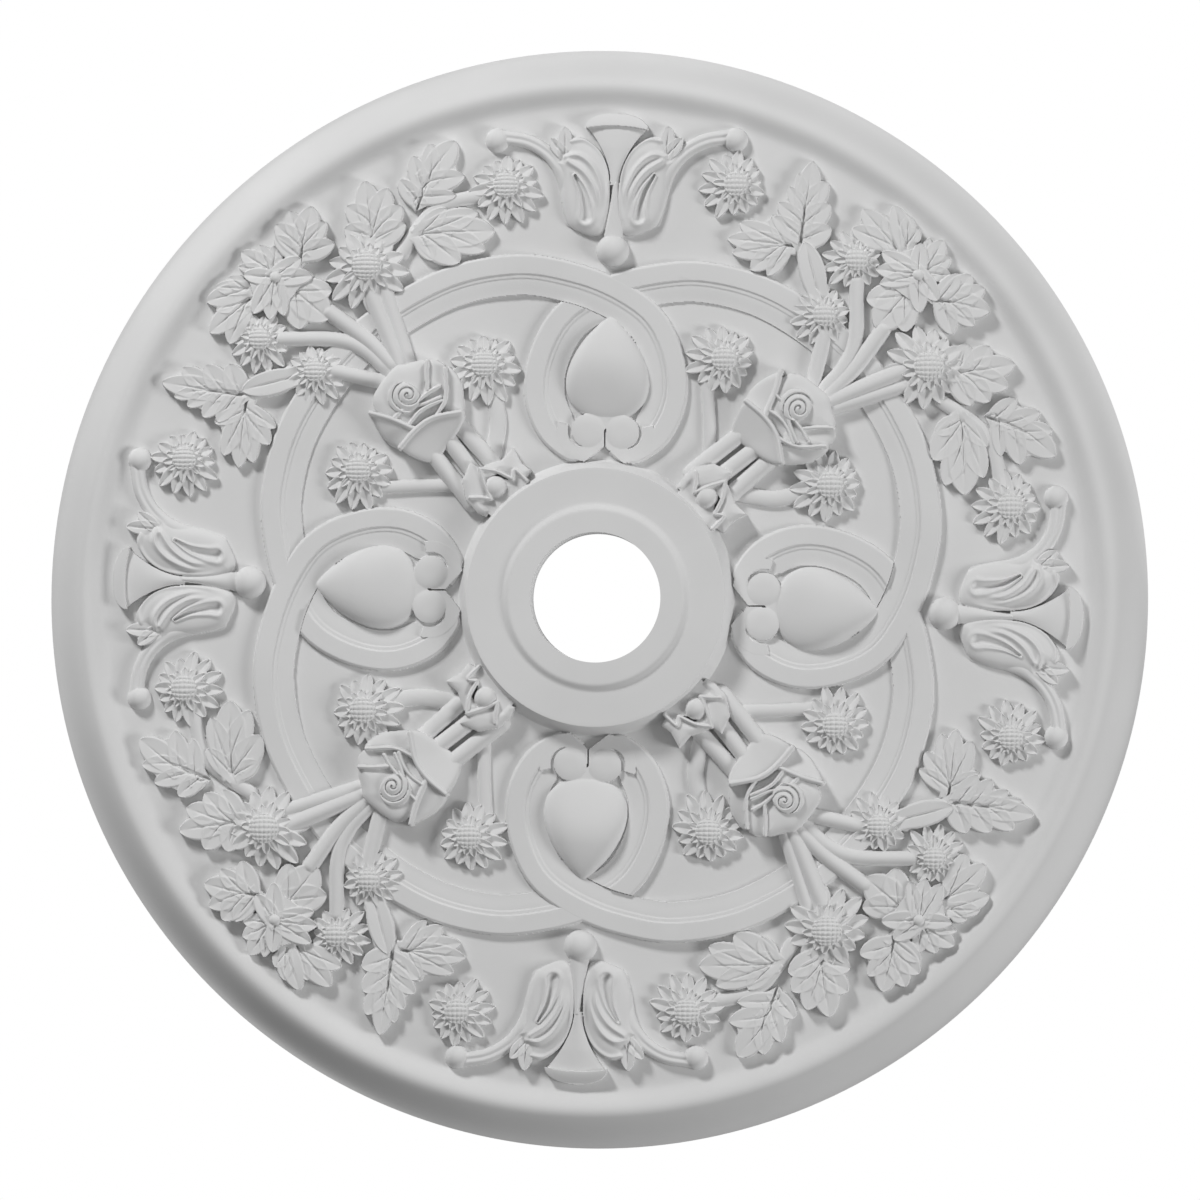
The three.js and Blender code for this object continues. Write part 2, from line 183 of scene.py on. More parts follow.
STEM_GROOVE_WIDTH = 0.3
STEM_GROOVE_END = (0.4, 0.6)

# Sunflowers of one quarter: centre, radius, height, turn of the petals.
SUNFLOWERS = (
    (-75, 343, 28.5, 12, 0.10),
    (-191, 276, 33.5, 17, 0.05),
    (-280, 216, 25, 13, 0.15),
    (-234, 189, 25, 13, 0.00),
    (-343, 116, 27, 12, 0.20),
    (-93, 194, 29, 13, 0.12),
    (-198, 106, 28, 13, 0.08),
)
PETALS = 7  # in each layer
# Petal layers: turn as a share of the petal spacing, length and half width as shares of the radius, and
# height at root and tip as shares of the flower's height.
PETAL_LAYERS = (
    (0.0, 1.04, 0.20, 0.78, 0.42),
    (0.5, 0.98, 0.20, 0.72, 0.46),
    (0.25, 0.64, 0.12, 0.90, 0.70),
    (0.75, 0.60, 0.12, 0.90, 0.72),
)
PETAL_SWAY = 0.16  # petals low on the quarter are longer by this share, those high on it shorter
PETAL_UNEVEN = 0.06  # share by which lengths differ, as a wave with these steps in radians
PETAL_UNEVEN_STEP = 2.4  # from petal to petal
LAYER_UNEVEN_STEP = 5  # from layer to layer
PETAL_NOD = 0.05  # share by which heights differ
PETAL_NOD_STEP = 3.7
PETAL_ROOT_POWER = 0.8  # how a petal widens from its root
PETAL_TIP_POWER = 0.7  # and from its tip
PETAL_WIDEST = 0.36  # what these powers come to at the widest place
PETAL_DROOP = 1.2  # power of its fall from root to tip
PETAL_CREASE = 2.4  # depth of the crease down its middle
PETAL_EDGE = (0.8, 0.2, 1.2)  # fall at its edge: start and width as shares of its half width, and depth
PETAL_WINDOW = 1.3  # as a share of the radius
SEED_DISC = 0.37  # as a share of the radius
PETAL_ROOT = 0.5  # petals start this share of the disc from the middle
SEED_ROW = 3.9
SEED_COLUMN = 4.4
SEED_CROWD = 0.25  # rows crowd together by this share towards the edge
SEED_MIDDLE = 1.05  # height of the disc's middle, as a share of the flower's height
SEED_FALL = 0.2  # and fall to its edge
SEED_HEIGHT = 0.8

# Leaves of one quarter, with the blossom among them: height, base, and lobes (start, tip, half width).
LEAVES = (
    (8, (-150, 322), (
        ((-138, 353), (-117, 380), 8.3), ((-138, 352), (-138, 378), 5.8), ((-145, 340), (-153, 368), 5.8),
        ((-149, 330), (-164, 348), 5.8), ((-141, 345), (-110, 351), 6.7), ((-149, 333), (-117, 335), 5.0),
    )),
    (8, (-155, 301), (
        ((-133, 304), (-85, 305), 10.0), ((-139, 306), (-99, 321), 7.5), ((-145, 305), (-125, 324), 5.8),
        ((-129, 303), (-93, 289), 7.5), ((-143, 301), (-114, 279), 9.1), ((-146, 300), (-136, 281), 5.8),
    )),
    (9, (-188, 288), (
        ((-188, 315), (-193, 347), 7.5), ((-184, 313), (-174, 341), 7.5), ((-188, 311), (-208, 326), 7.5),
        ((-188, 300), (-210, 307), 7.5), ((-183, 306), (-162, 326), 7.5), ((-185, 298), (-159, 311), 7.5),
    )),
    (10, (-247, 278), (
        ((-244, 298), (-237, 326), 7.5), ((-245, 296), (-256, 322), 6.7), ((-246, 291), (-267, 311), 7.5),
        ((-247, 284), (-268, 301), 5.8), ((-244, 293), (-225, 313), 5.8), ((-245, 287), (-218, 295), 6.7),
    )),
    (9, (-270, 270), (
        ((-272, 273), (-296, 288), 6.7), ((-272, 274), (-281, 294), 5.8), ((-273, 272), (-298, 276), 4.2),
        ((-269, 275), (-267, 294), 5.0),
    )),
    (8, (-292, 257), (
        ((-293, 257), (-325, 247), 6.7), ((-295, 258), (-317, 259), 5.0), ((-296, 260), (-306, 267), 5.0),
    )),
    (8, (-289, 249), (
        ((-293, 246), (-322, 221), 7.5), ((-293, 243), (-306, 212), 6.7), ((-294, 247), (-317, 240), 5.0),
    )),
    (11, (-267, 267), (
        ((-267, 268), (-246, 283), 5.8), ((-266, 267), (-236, 268), 5.8), ((-267, 266), (-260, 235), 5.0),
        ((-268, 265), (-272, 232), 5.8), ((-269, 265), (-286, 237), 5.8), ((-270, 267), (-294, 269), 5.0),
    )),
    (10, (-253, 260), (
        ((-249, 254), (-223, 232), 10.8), ((-250, 252), (-247, 224), 8.3), ((-247, 256), (-220, 256), 7.5),
    )),
    (8, (-284, 168), (
        ((-314, 172), (-362, 180), 7.5), ((-321, 173), (-345, 192), 6.7), ((-309, 172), (-326, 194), 7.5),
        ((-297, 171), (-306, 195), 7.5), ((-327, 173), (-352, 168), 4.2), ((-319, 173), (-341, 160), 5.0),
        ((-309, 171), (-328, 151), 5.8), ((-299, 169), (-316, 147), 5.8),
    )),
    (8, (-291, 165), (
        ((-293, 155), (-298, 109), 6.7), ((-292, 154), (-286, 113), 6.7), ((-294, 154), (-311, 119), 6.7),
        ((-295, 156), (-318, 146), 5.0), ((-292, 154), (-272, 128), 6.7), ((-291, 158), (-267, 142), 5.0),
    )),
    (9, (-255, 183), (
        ((-256, 183), (-295, 173), 7.5),
    )),
)
LEAF_MARGIN = 12.0
LEAF_THIN = 0.3  # lowest height that counts as leaf
LEAF_SAG = 1.2  # fall from the middle of a leaf to its ends
LEAF_CORE = 0.84  # the blade between the lobes goes out to this share of each lobe
LEAF_FLOOR = 0.84  # its height, as a share of the leaf's
LOBE_SPREAD = 1.4  # all lobes are wider than listed by this
LOBE_TIP_POWER = 0.65  # how a lobe widens from its tip
LOBE_ROOT = 0.6  # how wide it stays at its start
LOBE_WIDEST = 0.69  # what these come to at the widest place
LOBE_OVERLAP = 0.25  # a lobe reaches back by this share of its length
LOBE_MIDDLE = 0.82  # height along its middle, as a share of the leaf's
LOBE_DISH = 0.15  # rise from there to its sides
LOBE_DISH_POWER = 1.3
LOBE_TIP_RISE = 0.03
LOBE_EDGE = (0.85, 0.15, 1.2)  # fall at its edge: start and width as shares of its half width, and depth
VEIN_DEPTH = 1.5
VEIN_WIDTH = 0.8
VEIN_FADE = (0.55, 0.95)  # shares of its length over which a vein runs out
BLOSSOM = (-267, 267)
BLOSSOM_RADIUS = 4.5
BLOSSOM_ROOT = 9
BLOSSOM_SQUASH = 0.8

# Palmette outside each crossing of the straps, in the motif frame. One side; the other is its mirror image.
SKEW = 0.042  # keeps the two sides level with the square though the axis leans
PALMETTE_WINDOW = (26, 342, 62)  # middle of one side, and reach
PALMETTE_LOBE = (
    (4.5, 311), (8, 303.5), (16, 301), (26, 304), (37, 311), (43, 330), (46, 351), (52, 363),
    (44, 368), (40, 380), (33, 383.5), (24, 381), (13, 371.5), (6, 357), (3.5, 340), (3, 320),
)
PALMETTE_SIDE = 3.0  # height at the outline of the lobe
PALMETTE_RISE = 6.0  # rise from there inwards
PALMETTE_RISE_REACH = 4.0
FLUTES = (
    ((38, 380), (26, 381), (13, 371.5), (5.5, 355), (5, 326), (10, 306)),
    ((42, 367), (30, 367.5), (18, 357.5), (10, 339), (9.5, 321)),
    ((39, 363), (25, 353), (15.5, 338), (13.5, 320)),
)
FLUTE_WIDTH = 2.3125
FLUTE_HEIGHT = 3.2
FLUTE_FADE = (0.65, 1.0)  # shares of its length over which a flute runs out
EYE = ((33, 351), (26, 338), (22.5, 324), (22, 316))
EYE_TOP_HALF = 1.2  # half width at its top
EYE_GAIN = 3.8  # what it gains on the way down
EYE_DEPTH = 3.0
EYE_LIP_HEIGHT = 1.4
EYE_LIP_PLACE = 1.3  # as shares of the eye's half width
EYE_LIP_WIDTH = 0.45
LEAFLET_ROOT = (42, 367)
LEAFLET_HEIGHT = 9
LEAFLETS = ((43, 392, 4.5), (55, 382, 4))  # tip and half width
TENDRIL = ((95, 383.5), (74, 380), (57, 370.5), (46, 357), (40.5, 343), (37.5, 328), (34, 314))
TENDRIL_HALF = 6
TENDRIL_HEIGHT = 7
TENDRIL_GROOVE = 1.4
TENDRIL_FADE = 0.75
TENDRIL_BALL = (99, 381)
TENDRIL_BALL_RADIUS = 10
MAIN_BALL = (0.8, 289)
MAIN_BALL_RADIUS = 13.5
MAIN_BALL_ROOT = 1.5

# Bell between the lobes: a flared cup with a crown over its lip, on a foot that widens inwards.
# The flares are half width at the waist, what it gains, over what length, and with what power.
BELL_WINDOW = (375, 45)  # middle and reach
BELL_LIP = 392.5
BELL_LIP_BEND = 0.004
BELL_WAIST = 343
BELL_FLARE = (3.5, 22, 49, 1.9)
BELL_HEIGHT = 7.8
BELL_ROUND = 2.0  # fall from its middle to its sides
BELL_HOLLOW = 1.5  # how far it sinks towards the lip
BELL_HOLLOW_START = 375
BELL_HOLLOW_RUN = 18
CROWN_HALF_WIDTH = 26
CROWN_CENTRE = 390.5
CROWN_RISE = 13  # how far it goes out from there
CROWN_HEIGHT = 9.0
CROWN_FALL = 4.5  # from the lip outwards
CROWN_FALL_REACH = 10
CROWN_FALL_POWER = 1.5
BELL_FOOT_WINDOW = (325, 40)
BELL_FOOT_TOP = 345
BELL_FOOT_END = 300
BELL_FOOT_FLARE = (2.5, 5.5, 44, 1.4)
BELL_FOOT_SHIFT = 1
BELL_FOOT_HEIGHT = 8.5
BELL_FOOT_ROUND = 3

# Rose of one quarter.
CUP_RIGHT = (
    (-162.5, 124.5), (-137.5, 112.5), (-122.5, 127.5), (-111, 145.5), (-112, 154.5), (-134.5, 149.5),
    (-149.5, 139.5),
)
CUP_LEFT = ((-187, 153.5), (-177, 132.5), (-162.5, 124.5), (-151.5, 139.5), (-170, 148.5))
LIP_RIGHT = ((-162.5, 124.5), (-149.5, 139.5), (-134.5, 149.5), (-112, 154))
LIP_LEFT = ((-187, 153.5), (-170, 148.5), (-151.5, 140.5))
# Cup petals: outline, lip, height at the lip, fall for each millimetre from it, height of the lip itself.
CUPS = ((CUP_RIGHT, LIP_RIGHT, 19, 0.36, 20.5), (CUP_LEFT, LIP_LEFT, 17, 0.42, 19.2))
CUP_EDGE_FALL = 2.5  # at the outline
CUP_EDGE_REACH = 1.5  # and how far in that reaches
LIP_HALF = 2.3
RIB_ROUND = 2.5  # fall from the middle of a lip or fold to its sides
PETAL_FAR = ((-125, 191.5), (-113, 180.5), (-110, 165.5), (-112, 153.5), (-129, 152.5))
PETAL_RIGHT = ((-140, 196.5), (-125, 191.5), (-124, 166.5), (-130, 155.5), (-144, 163.5))
BLOOM = (
    (-184.5, 169.5), (-183.5, 156.5), (-170, 147.5), (-151.5, 140.5), (-138.5, 148.5), (-129, 156.5),
    (-139, 170.5), (-140, 196.5), (-157, 194.5), (-168.5, 190.5),
)
# Other petals: outline, height, fall at the outline, how far in that reaches, and sink at the folds.
ROSE_PETALS = ((PETAL_FAR, 12, 4, 3, 0), (PETAL_RIGHT, 14.5, 2, 3, 0), (BLOOM, 17, 5, 4, 3.5))
FOLDS_ALONG_X = (-157, -140)  # the sink comes in over these
FOLDS_ALONG_Y = (182, 164)
FOLDS = (
    ((-147.5, 163.5), (-139, 170.5), (-130, 175.5)),
    ((-167.5, 149.5), (-157, 158.5), (-144, 160.5), (-129, 166.5)),
    ((-155, 143.5), (-147.5, 153.5), (-138.5, 159.5), (-128, 163.5)),
    ((-140, 196.5), (-140.5, 184.5), (-139.5, 172.5)),
    ((-125, 190.5), (-124.5, 168.5), (-129, 156.5), (-133.5, 150)),
)
FOLD_HALF = 1.7
FOLD_HEIGHT = 18.6
HEART = (-156, 168.5)
HEART_WINDOW = 20
HEART_SQUASH = 1.06
HEART_HEIGHT = 22.0
HEART_SLOPE = 0.12  # fall for each millimetre outwards
HEART_RADIUS = 13
HEART_REACH = 4.5  # longer by this on one side, shorter on the other
HEART_TURN = 0.9  # which side, in radians
COIL_PITCH = 5.2
COIL_STEP = 2.2  # each turn of the coil falls by this
COIL_GROOVE = 1.8  # depth of the groove between turns
COIL_GROOVE_WIDTH = 0.13  # as a share of the pitch

# Bud beside the collar. The domes are height, fall at the outline, and how far in that reaches.
BUD_CUP = (
    (-104, 113), (-97, 108), (-78, 115), (-69, 125), (-62, 112), (-54, 106), (-59, 97), (-70, 100),
    (-80, 104), (-89, 98), (-91, 84), (-88, 81), (-93, 78), (-87, 72), (-91, 67), (-99, 71), (-108, 81),
    (-111, 98),
)
BUD_DOME = (16, 3.5, 3)
BUD_FLOOR = ((-97, 105), (-73, 98), (-67, 105), (-56, 95), (-87, 67), (-95, 77), (-91, 85))
BUD_FLOOR_DOME = (13.5, 0, 1)
BUD_LIPS = (
    ((-96, 107), (-83, 105), (-69, 98.5)),
    ((-96, 107), (-92, 94), (-87, 82)),
    ((-69, 98.5), (-67, 106), (-57, 97)),
    ((-104, 83), (-96, 83), (-88, 82)),
)
BUD_LIP_HALF = 1.8
BUD_LIP_HEIGHT = 18
BUD_BALL = (-83, 92)
BUD_BALL_RADIUS = 9.5
BUD_BALL_ROOT = 11

# Paint: matte primer with faint clouds and a fine orange-peel skin.
PRIMER_LIGHT = (0.80, 0.80, 0.80, 1)
PRIMER_DARK = (0.75, 0.75, 0.75, 1)
CLOUD_SCALE = 9.0
CLOUD_DETAIL = 5
CLOUD_RANGE = (0.3, 0.7)
SMOOTHEST = 0.62
ROUGHEST = 0.8
GRAIN_SCALE = 900.0
GRAIN_DETAIL = 3
PEEL_STRENGTH = 0.12
PEEL_DEPTH = 0.0004
PRIMER_SHINE = 0.3

# Studio, in metres.
WHITE = (1, 1, 1, 1)
FLOOR_SIZE = 8.0
FLOOR_LEVEL = -7.6
FLOOR_DARK = (0.78, 0.78, 0.77, 1)
FLOOR_LIGHT = (0.82, 0.82, 0.81, 1)
FLOOR_GRAIN_SCALE = 3
FLOOR_GRAIN_DETAIL = 2
FLOOR_ROUGHNESS = 0.9
# Soft lights: name, place, size, watts. All look at the middle of the back.
LIGHTS = (
    ("key", (-2.35, -3.75, -2.6), 1.0, 162.0),
    ("fill", (4.34, 1.16, -2.19), 1.8, 104.0),
    ("overhead", (-1.2, -1.5, 2.6), 2.0, 90.0),
)
SURROUND_LIGHT = 0.2
BACKDROP = 1.0

# Camera: far off under the face, a little to the right of its middle and towards the photograph's foot.
SENSOR = 36.0
CAMERA_DISTANCE = 7.0
CAMERA_RIGHT = 0.36
CAMERA_LOW = 0.2
AIM = (0.0015, 0.0009, 0)
FRAME_WIDTH = 0.9976
PHOTO_UP = (0, -1, 0)


def ease(low, high, value):
    """Smooth step from 0 at low to 1 at high."""
    t = np.clip((value - low) / (high - low), 0, 1)
    return t * t * (3 - 2 * t)


def swell(low, high, share):
    """Half a wave from low to high."""
    return low + (high - low) * (0.5 - 0.5 * np.cos(np.pi * np.clip(share, 0, 1)))


def body_height(r):
    """Turned body: collar, field and rim, by radius."""
    field = FIELD - (FIELD - RIM_GROOVE) * ease(RIM_START, RIM_INNER, r)
    cove = swell(RIM_GROOVE, RIM_CREST, (r - RIM_INNER) / (RIM_CREST_RADIUS - RIM_INNER))
    ogee = swell(RIM_CREST, EDGE, (r - RIM_CREST_RADIUS) / (OUTER_RADIUS - RIM_CREST_RADIUS + RIM_OVERRUN))
    height = np.where(r < RIM_INNER, field, np.where(r < RIM_CREST_RADIUS, cove, ogee))
    skirt = FIELD + (COLLAR_STEP - FIELD) * (1 - ease(COLLAR_SHELF, COLLAR_FOOT, r) ** COLLAR_SKIRT)
    step = COLLAR_STEP + (COLLAR_TOP - COLLAR_STEP) * (1 - ease(COLLAR_STEP_EDGE, COLLAR_STEP_FOOT, r))
    return np.where(r < COLLAR_SHELF, step, np.where(r < COLLAR_FOOT, skirt, height))


class Relief:
    """Height of the ornament over the field at a cloud of plan points, NONE where there is no ornament."""

    def __init__(self, x, y):
        self.x = x
        self.y = y
        self.top = np.full_like(x, NONE)

    def window(self, x, y, reach):
        """Points in a square round a place: their numbers, and how far they are from it."""
        ids = np.flatnonzero((np.abs(self.x - x) < reach) & (np.abs(self.y - y) < reach))
        return ids, self.x[ids] - x, self.y[ids] - y

    def between(self, low, high):
        """Points in the box between two corners: their numbers and places."""
        along_x = (self.x > low[0]) & (self.x < high[0])
        ids = np.flatnonzero(along_x & (self.y > low[1]) & (self.y < high[1]))
        return ids, self.x[ids], self.y[ids]

    def set_to(self, ids, height, inside):
        """Gives the points inside a form its height."""
        self.top[ids[inside]] = height[inside]

    def raise_to(self, ids, height, inside):
        """The same, but only where the form stands higher than what is there."""
        keep = ids[inside]
        self.top[keep] = np.maximum(self.top[keep], height[inside])


def on_motif(u, v):
    """Plan place of a place of the motif frame."""
    return u * math.cos(LEAN) + v * math.sin(LEAN), v * math.cos(LEAN) - u * math.sin(LEAN)


def motif_window(relief, u, v, reach):
    """Points near a place of the motif frame, in that frame."""
    x, y = on_motif(u, v)
    ids, dx, dy = relief.window(x, y, reach)
    return ids, u + dx * math.cos(LEAN) - dy * math.sin(LEAN), v + dx * math.sin(LEAN) + dy * math.cos(LEAN)


def smooth_span(a, b, c, d, t):
    """Smooth way from b to c, where a comes before them and d after them."""
    return b + 0.5 * t * (c - a + t * (2 * a - 5 * b + 4 * c - d + t * (3 * (b - c) + d - a)))


def curve(points, steps=CURVE_STEPS):
    """Smooth curve through the points, as a dense polyline."""
    p = np.asarray(points, float)
    if len(p) == 2:
        return p
    p = np.vstack((2 * p[0] - p[1], p, 2 * p[-1] - p[-2]))
    t = np.linspace(0, 1, steps, endpoint=False)[:, None]
    spans = [smooth_span(*near, t) for near in zip(p[:-3], p[1:-2], p[2:-1], p[3:])]
    return np.vstack(spans + [p[-2][None]])


def rounded(points):
    """Closed smooth outline through the points."""
    p = np.asarray(points, float)
    t = np.linspace(0, 1, OUTLINE_STEPS, endpoint=False)[:, None]
    around = zip(np.roll(p, 1, axis=0), p, np.roll(p, -1, axis=0), np.roll(p, -2, axis=0))
    return np.vstack([smooth_span(*near, t) for near in around])


def along_curve(x, y, line):
    """Nearest place on a polyline: share of its length, signed distance (left of it positive)."""
    lengths = np.hypot(*np.diff(line, axis=0).T)
    starts = np.concatenate(([0], np.cumsum(lengths)))
    best = np.full(x.shape, np.inf)
    share = np.zeros(x.shape)
    side = np.zeros(x.shape)
    for i, (a, b) in enumerate(zip(line[:-1], line[1:])):
        d = (b - a) / lengths[i]
        rx = x - a[0]
        ry = y - a[1]
        t = np.clip(rx * d[0] + ry * d[1], 0, lengths[i])
        gap = np.hypot(rx - t * d[0], ry - t * d[1])
        near = gap < best
        best = np.where(near, gap, best)
        share = np.where(near, (starts[i] + t) / starts[-1], share)
        side = np.where(near, np.where(d[0] * ry - d[1] * rx >= 0, gap, -gap), side)
    return share, side


def beside(relief, course, half):
    """Points beside a curve: numbers, share of its length, and distance from it as a share of half."""
    line = curve(course)
    ids, x, y = relief.between(line.min(0) - half, line.max(0) + half)
    share, side = along_curve(x, y, line)
    return ids, share, np.abs(side) / half


def inside_outline(u, v, outline):
    """Distance inside a closed outline, negative outside."""
    line = np.vstack((outline, outline[:1]))
    gap = np.full(u.shape, np.inf)
    odd = np.zeros(u.shape, bool)
    for a, b in zip(line[:-1], line[1:]):
        d = b - a
        t = np.clip(((u - a[0]) * d[0] + (v - a[1]) * d[1]) / (d @ d), 0, 1)
        gap = np.minimum(gap, np.hypot(u - a[0] - t * d[0], v - a[1] - t * d[1]))
        cross = (a[1] > v) != (b[1] > v)
        with np.errstate(divide="ignore", invalid="ignore"):
            odd ^= cross & (u < a[0] + (v - a[1]) * d[0] / d[1])
    return np.where(odd, gap, -gap)


def edge_fall(d, start, width, fall):
    """Fall over the last part of a half width, up to the edge at d = 1."""
    return fall * np.clip(d - start, 0, 1) / width


def strap_course():
    """Outer edge of one strap: a loop, the ring, and the next loop as a mirror image of the first."""
    half = [on_motif(u, v) for u, v in STRAP_LOOP]
    for degrees, radius in STRAP_RING:
        a = math.radians(degrees)
        half.append(on_motif(-radius * math.sin(a), radius * math.cos(a)))
    axis = 2 * (DIAGONAL - LEAN)
    across = math.cos(axis)
    along = math.sin(axis)
    rest = [(x * across + y * along, x * along - y * across) for x, y in half[-2::-1]]
    return curve(half + rest, STRAP_CURVE_STEPS)


def strap_band(x, y):
    """Place of points on the strap: share of its course, and share of its width from the outer edge."""
    share, side = along_curve(x, y, strap_course())
    width = STRAP_TAIL + (STRAP_WIDTH - STRAP_TAIL) * ease(0.0, STRAP_TAPER, np.minimum(share, 1 - share))
    return share, side / width


def strap(relief):
    """Stepped strap, lifted where it runs over the next one and cut off where the one before runs over it."""
    ids = np.arange(relief.x.size)
    share, d = strap_band(relief.x, relief.y)
    lift = STRAP_LIFT * np.exp(-((share - STRAP_OVER) / STRAP_LIFT_LENGTH) ** 2)
    height = STRAP_HEIGHT * (1 - sum(drop * ease(start, end, d) for start, end, drop in STRAP_STEPS))
    height = height - STRAP_HEIGHT * STRAP_EDGE * (1 - ease(0, STRAP_EDGE_WIDTH, d))
    other_share, other_d = strap_band(relief.y, -relief.x)
    crossing = np.abs(other_share - STRAP_OVER) < STRAP_CROSSING
    under = (other_d > STRAP_COVER) & (other_d < 1) & crossing
    inside = (d > 0) & (d < 1) & (share > STRAP_END) & (share < 1 - STRAP_END) & ~under
    relief.raise_to(ids, height + lift, inside)


def egg(relief):
    """Egg boss: pointed at its outer end, round at its foot, where it sinks between the scrolls."""
    ids, u, v = motif_window(relief, 0, 0.5 * (EGG_TIP + EGG_FOOT), EGG_WINDOW)
    u = u + AXIS_SHIFT
    t = np.clip((EGG_TIP - v) / (EGG_TIP - EGG_FOOT), TINY, 1 - TINY)
    shape = t ** EGG_TIP_POWER * (1 - t) ** EGG_FOOT_POWER / EGG_WIDEST
    across = np.abs(u) / (EGG_HALF_WIDTH * shape)
    inside = (across < 1) & (v < EGG_TIP) & (v > EGG_FOOT)
    dome = np.sqrt(np.clip(1 - across ** EGG_SECTION, 0, 1)) ** EGG_FULLNESS
    sink = EGG_FOOT_FALL * ease(*EGG_FALL_ALONG, t)
    relief.raise_to(ids, EGG_HEIGHT * shape ** EGG_CROWN * dome * (1 - sink), inside)


def scrolls(relief):
    """The strap ends: each winds under a low button and meets the other at a thin line on the axis."""
    for side in (-1, 1):
        ids, u, v = motif_window(relief, side * SCROLL_U - AXIS_SHIFT, SCROLL_V, SCROLL_WINDOW)
        du = side * (u + AXIS_SHIFT) - SCROLL_U
        dv = v - SCROLL_V
        reach = np.hypot(du, dv)
        bearing = np.degrees(np.arctan2(dv, du))
        own_side = (du > -SCROLL_U) & ((du + SCROLL_U > SCROLL_SLIT) | (dv > SCROLL_SLIT_TOP))
        foot = dv > -SCROLL_FOOT_DEPTH - SCROLL_FOOT_SLOPE * (du + SCROLL_U)
        hollow = SCROLL_RADIUS + CRESCENT_WIDTH * np.clip((bearing - CRESCENT_START) / CRESCENT_RUN, 0, 1)
        winding = (reach > hollow) & (reach < SCROLL_WINDING) & (bearing < SCROLL_WINDING_END)
        neck = (du < SCROLL_NECK) & (dv > SCROLL_SLIT_TOP) & (dv < SCROLL_RADIUS)
        flat = np.full(reach.shape, STRAP_HEIGHT + SCROLL_PROUD)
        relief.raise_to(ids, flat, (winding | neck) & own_side & foot)
        button = STRAP_HEIGHT + SCROLL_PROUD + SCROLL_RISE * (1 - (reach / SCROLL_RADIUS) ** SCROLL_ROUND)
        relief.set_to(ids, button, (reach < SCROLL_RADIUS) & own_side)


def ball(relief, x, y, radius, root=0.0, squash=1.0):
    """Half ball that stands on a root, flatter where squash is under 1."""
    ids, dx, dy = relief.window(x, y, radius)
    r = np.hypot(dx, dy) / radius
    height = root + squash * radius * np.sqrt(np.clip(1 - r * r, 0, 1))
    relief.raise_to(ids, height, r < 1)


def stem(relief, course, half, height, groove=0.0, fade=0.0):
    """Round stem along a curve, with a groove down the middle of its first half; fade lowers its end."""
    ids, share, d = beside(relief, course, half)
    section = STEM_SIDE + (1 - STEM_SIDE) * np.clip(1 - d * d, 0, 1) ** STEM_ROUND
    top = height * section * (1 - fade * ease(*STEM_FADE, share))
    top = top - groove * np.exp(-(d / STEM_GROOVE_WIDTH) ** 2) * (1 - ease(*STEM_GROOVE_END, share))
    relief.raise_to(ids, top, d < 1)


def petal_layer(relief, place, radius, height, turn, layer):
    """One layer of creased petals round a sunflower, no two of the same length and height."""
    shift, share, half, root, tip = layer
    x, y = place
    ids, dx, dy = relief.window(x, y, PETAL_WINDOW * radius)
    reach = np.hypot(dx, dy)
    bearing = np.arctan2(dy, dx)
    step = bearing * PETALS / (2 * math.pi) - shift - turn * PETALS
    petal = np.round(step)
    side = (step - petal) * 2 * math.pi / PETALS * reach
    uneven = PETAL_UNEVEN * np.sin(PETAL_UNEVEN_STEP * (petal % PETALS) + x + LAYER_UNEVEN_STEP * shift)
    length = radius * share * (1 - PETAL_SWAY * np.sin(bearing)) * (1 + uneven)
    start = PETAL_ROOT * (SEED_DISC * radius)
    t = np.clip((reach - start) / (length - start), TINY, 1 - TINY)
    width = half * radius * t ** PETAL_ROOT_POWER * (1 - t) ** PETAL_TIP_POWER / PETAL_WIDEST
    d = np.abs(side) / width
    nod = PETAL_NOD * np.sin(PETAL_NOD_STEP * (petal % PETALS) + y)
    top = height * (root + (tip - root) * t ** PETAL_DROOP + nod)
    top = top - PETAL_CREASE * (1 - np.clip(d, 0, 1)) - edge_fall(d, *PETAL_EDGE)
    relief.raise_to(ids, top, (d < 1) & (reach < length) & (reach > start))


def seed_disc(relief, x, y, radius, height):
    """Domed disc of seeds in rows that crowd together towards its edge."""
    disc = SEED_DISC * radius
    ids, dx, dy = relief.window(x, y, disc)
    out = np.hypot(dx, dy) / disc
    crowd = 1 + SEED_CROWD * out ** 2
    rows = np.abs(np.sin(math.pi * dy * crowd / SEED_ROW))
    columns = np.abs(np.sin(math.pi * dx * crowd / SEED_COLUMN))
    top = height * (SEED_MIDDLE - SEED_FALL * out ** 2) + SEED_HEIGHT * (rows + columns - 1)
    relief.raise_to(ids, top, out < 1)


def sunflower(relief, x, y, radius, height, turn):
    """Layers of petals with a disc of seeds."""
    for layer in PETAL_LAYERS:
        petal_layer(relief, (x, y), radius, height, turn, layer)
    seed_disc(relief, x, y, radius, height)


def leaf_core(base, lobes):
    """Outline of the blade between the lobes: the base and a place on each lobe, in order round it."""
    places = [np.add(start, LEAF_CORE * np.subtract(tip, start)) for start, tip, half in lobes]
    core = np.array([base] + places)
    spoke = core - core.mean(0)
    return core[np.argsort(np.arctan2(spoke[:, 1], spoke[:, 0]))]


